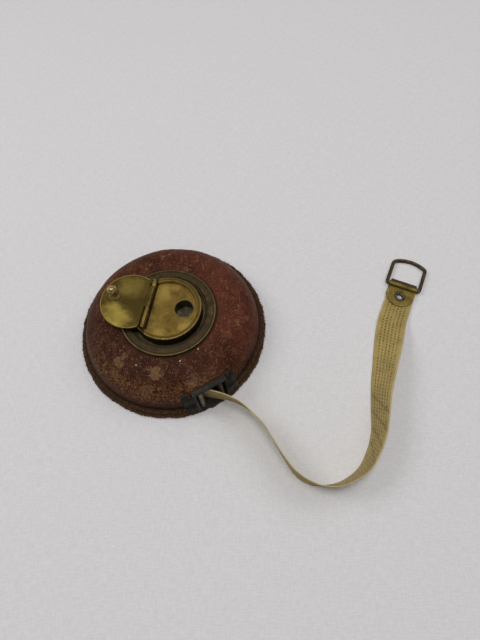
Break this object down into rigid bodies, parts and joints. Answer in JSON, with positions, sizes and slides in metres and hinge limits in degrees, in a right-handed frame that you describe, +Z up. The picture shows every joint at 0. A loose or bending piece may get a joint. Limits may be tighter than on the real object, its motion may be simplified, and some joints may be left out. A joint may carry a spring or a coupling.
{
  "type": "tape measure",
  "caption": "Round leather-cased winding tape measure with a folding crank handle, cloth tape pulled out, end clip and pull ring.",
  "frame": {"origin": "on the drum's axis, in the plane of the case's flat back", "axes": "+Z up, out of the winding side; the folding handle's hinge lies across the direction 14 degrees clockwise of +X; the tape's mouth points 65 degrees clockwise of +X"},
  "size_m": [0.206, 0.1489, 0.036],
  "materials": {
    "back_leather": "matt, dark",
    "front_leather": "worn, low sheen",
    "thread": "waxed thread",
    "bezel_brass": "tarnished",
    "inner_brass": "plain",
    "back_brass": "tarnished",
    "steel": "plain",
    "black_iron": "blackened, worn edges",
    "roller_brass": "tarnished",
    "drum_brass": "plain",
    "coil_cloth": "woven",
    "boss_brass": "worn, tarnished",
    "pocket_brass": "brushed",
    "flap_brass": "mottled tarnish",
    "knob_brass": "worn bright on the edges",
    "tape_cloth": "woven, waxed",
    "clip_brass": "olive tarnish",
    "ring_bronze": "dark patina"
  },
  "bodies": {
    "case": {"back_cover": "back_leather", "front_cover": "front_leather", "rim_stitches": "thread", "bezel_ring": "bezel_brass", "bezel_clamp_ring": "inner_brass", "bezel_studs": "inner_brass", "back_plate": "back_brass", "inner_plate": "inner_brass", "back_rivets": "back_brass", "spindle": "steel", "spindle_washer": "steel", "spindle_screw": "steel", "mouth_frame": "black_iron", "mouth_rivets": "inner_brass", "roller_pin_left": "steel", "roller_pin_right": "steel", "tape_strip": "tape_cloth", "end_clip": "clip_brass", "clip_eyelet": "clip_brass", "stop_bar": "ring_bronze"},
    "drum": {"hub": "drum_brass", "hub_bush": "inner_brass", "drum_pins": "steel", "tape_coil": "coil_cloth", "tape_anchor": "steel", "winding_boss": "boss_brass", "knob_pocket": "pocket_brass", "hinge_pin": "steel"},
    "flap": {"handle_flap": "flap_brass", "knob_post": "knob_brass"},
    "knob": {"knob": "knob_brass"},
    "roller_left": {"roller_left": "roller_brass"},
    "roller_right": {"roller_right": "roller_brass"},
    "pull_ring": {"pull_ring": "ring_bronze"}
  },
  "joints": [
    {"name": "drum_spin", "type": "hinge", "parent": "case", "child": "drum", "pos_m": [0, 0, 0.01], "axis": [0, 0, 1], "continuous": true},
    {"name": "flap_fold", "type": "hinge", "parent": "drum", "child": "flap", "pos_m": [-0.00934, 0.00305, 0.027], "axis": [0.2419, 0.9703, 0], "range_deg": [0, 180]},
    {"name": "knob_spin", "type": "hinge", "parent": "flap", "child": "knob", "pos_m": [-0.02736, 0.00868, 0.0285], "axis": [0, 0, 1], "continuous": true},
    {"name": "roller_left_spin", "type": "hinge", "parent": "case", "child": "roller_left", "pos_m": [0.01562, -0.04722, 0.0007], "axis": [-0.0601, 0.1289, 0.9898], "continuous": true},
    {"name": "roller_right_spin", "type": "hinge", "parent": "case", "child": "roller_right", "pos_m": [0.02613, -0.04232, 0.0007], "axis": [-0.0601, 0.1289, 0.9898], "continuous": true},
    {"name": "ring_swing", "type": "hinge", "parent": "case", "child": "pull_ring", "pos_m": [0.13638, 0.0146, 0.00175], "axis": [0.887, -0.4617, 0], "range_deg": [0, 172]}
  ]
}
